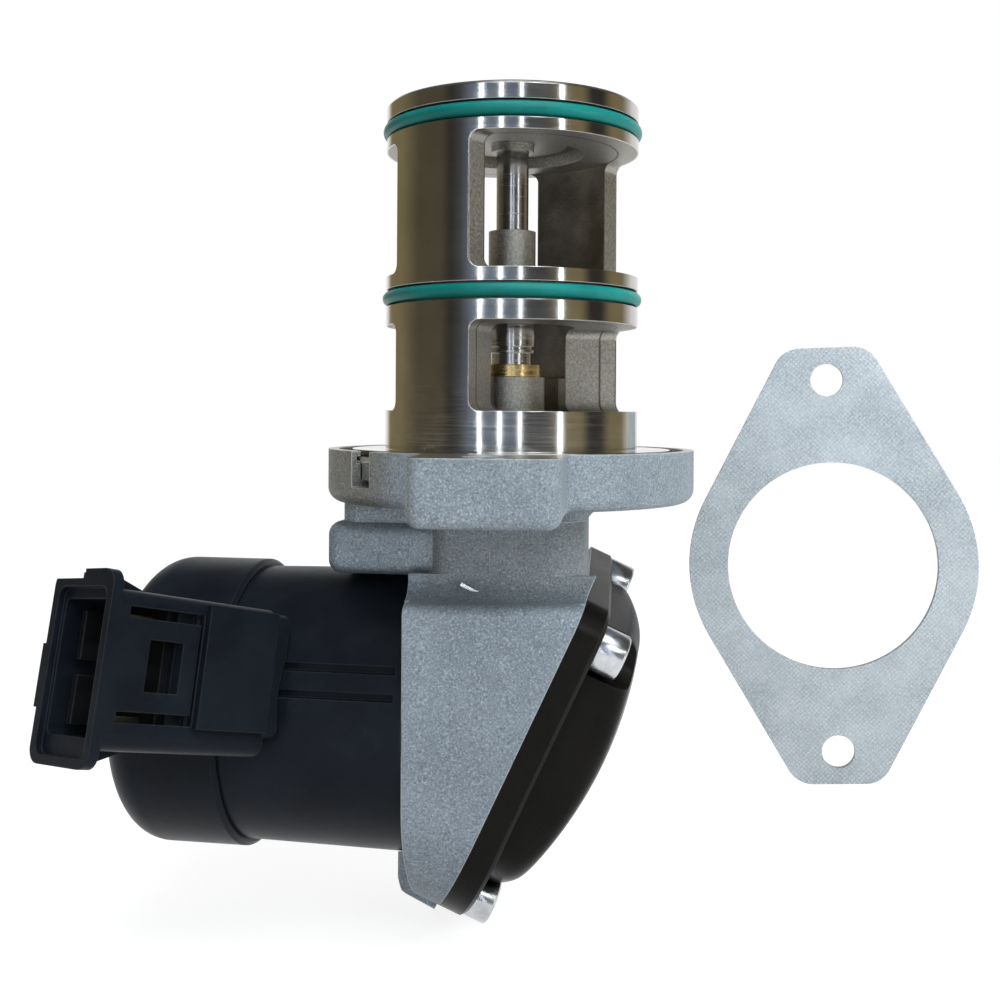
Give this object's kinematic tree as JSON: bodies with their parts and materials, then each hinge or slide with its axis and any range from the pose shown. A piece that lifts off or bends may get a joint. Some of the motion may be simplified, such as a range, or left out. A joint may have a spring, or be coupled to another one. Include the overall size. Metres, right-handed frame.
{
  "type": "exhaust gas recirculation valve",
  "caption": "Electric exhaust gas valve: windowed two-poppet cage on a diamond flange, cam gear box under a domed cover, motor with moulded connector, and a loose flange gasket",
  "frame": {"origin": "centre of the flange's bolt pattern, on the flange face and on the stem's axis", "axes": "+Z along the stem, out of the flange towards the cage; the flange's two bolt holes lie on Y; the motor lies towards -X, turned 4.6 degrees about Z"},
  "size_m": [0.2093, 0.1422, 0.1831],
  "materials": {
    "cast_aluminium": "sand-cast, matt and finely speckled, machined on the flange",
    "stainless": "turned stainless steel, satin",
    "green_rubber": "green fluoro rubber, satin",
    "black_rubber": "black rubber",
    "ground_steel": "ground steel",
    "zinc_steel": "zinc-plated steel",
    "brass": "turned brass",
    "black_plastic": "black glass-filled nylon",
    "grey_plastic": "dark grey plastic",
    "tinned_blade": "tinned bronze blades",
    "lamination": "stacked electrical steel",
    "copper": "enamelled copper",
    "magnet": "sintered ferrite",
    "carbon": "pressed carbon",
    "gear_steel": "sintered steel, oiled",
    "gasket_sheet": "coated steel sheet with a fine embossed speckle"
  },
  "bodies": {
    "valve_body": {"housing": "cast_aluminium", "valve_cage": "stainless", "snap_ring": "ground_steel", "upper_o_ring": "green_rubber", "lower_o_ring": "green_rubber", "guide_sleeve": "ground_steel", "brass_seal_ring": "brass", "stem_seal": "black_rubber", "cover_seal": "black_rubber", "gear_cover": "black_plastic", "cover_screws": "zinc_steel", "cam_pin": "ground_steel", "idler_pin": "ground_steel", "motor_housing": "black_plastic", "motor_end_cap": "black_plastic", "connector_lock": "black_plastic", "connector_insert": "grey_plastic", "connector_terminals": "tinned_blade", "motor_can": "zinc_steel", "motor_magnets": "magnet", "motor_bearings": "ground_steel", "brush_plate": "grey_plastic", "brushes": "carbon", "return_spring": "ground_steel"},
    "stem": {"valve_stem": "ground_steel", "lower_poppet": "stainless", "upper_poppet": "stainless", "stem_nut": "zinc_steel", "spring_retainer": "ground_steel", "roller_pin": "ground_steel"},
    "roller": {"follower_roller": "gear_steel"},
    "rotor": {"rotor_core": "lamination", "rotor_windings": "copper", "commutator": "copper", "motor_shaft": "ground_steel", "motor_pinion": "gear_steel"},
    "idler": {"idler_gear": "gear_steel"},
    "cam": {"cam_gear": "gear_steel", "spiral_cam": "gear_steel"},
    "gasket": {"flange_gasket": "gasket_sheet"}
  },
  "joints": [
    {"name": "rotor_turn", "type": "hinge", "parent": "valve_body", "child": "rotor", "pos_m": [0, 0, -0.0585], "axis": [0.9968, -0.0802, 0], "range_deg": [-0.5, 874.79]},
    {"name": "idler_turn", "type": "hinge", "parent": "valve_body", "child": "idler", "pos_m": [0, 0, -0.0753], "axis": [0.9968, -0.0802, 0], "range_deg": [-291.93, 0.5]},
    {"name": "cam_turn", "type": "hinge", "parent": "valve_body", "child": "cam", "pos_m": [0, 0, -0.0585], "axis": [0.9968, -0.0802, 0], "range_deg": [-0.2, 120.2]},
    {"name": "stem_lift", "type": "slide", "parent": "valve_body", "child": "stem", "axis": [0, 0, 1], "range_m": [0, 0.006], "deforming": ["return_spring"]},
    {"name": "roller_spin", "type": "hinge", "parent": "stem", "child": "roller", "pos_m": [0, 0, -0.0465], "axis": [0.9968, -0.0802, 0], "continuous": true},
    {"name": "gasket_lift", "type": "slide", "parent": "valve_body", "child": "gasket", "axis": [0, 0, 1], "range_m": [0, 0.12]}
  ],
  "couplings": [
    {"joint": "rotor_turn", "follows": "stem_lift", "rad_per_m": 2543.2},
    {"joint": "idler_turn", "follows": "stem_lift", "rad_per_m": -847.73},
    {"joint": "cam_turn", "follows": "stem_lift", "rad_per_m": 349.07}
  ]
}
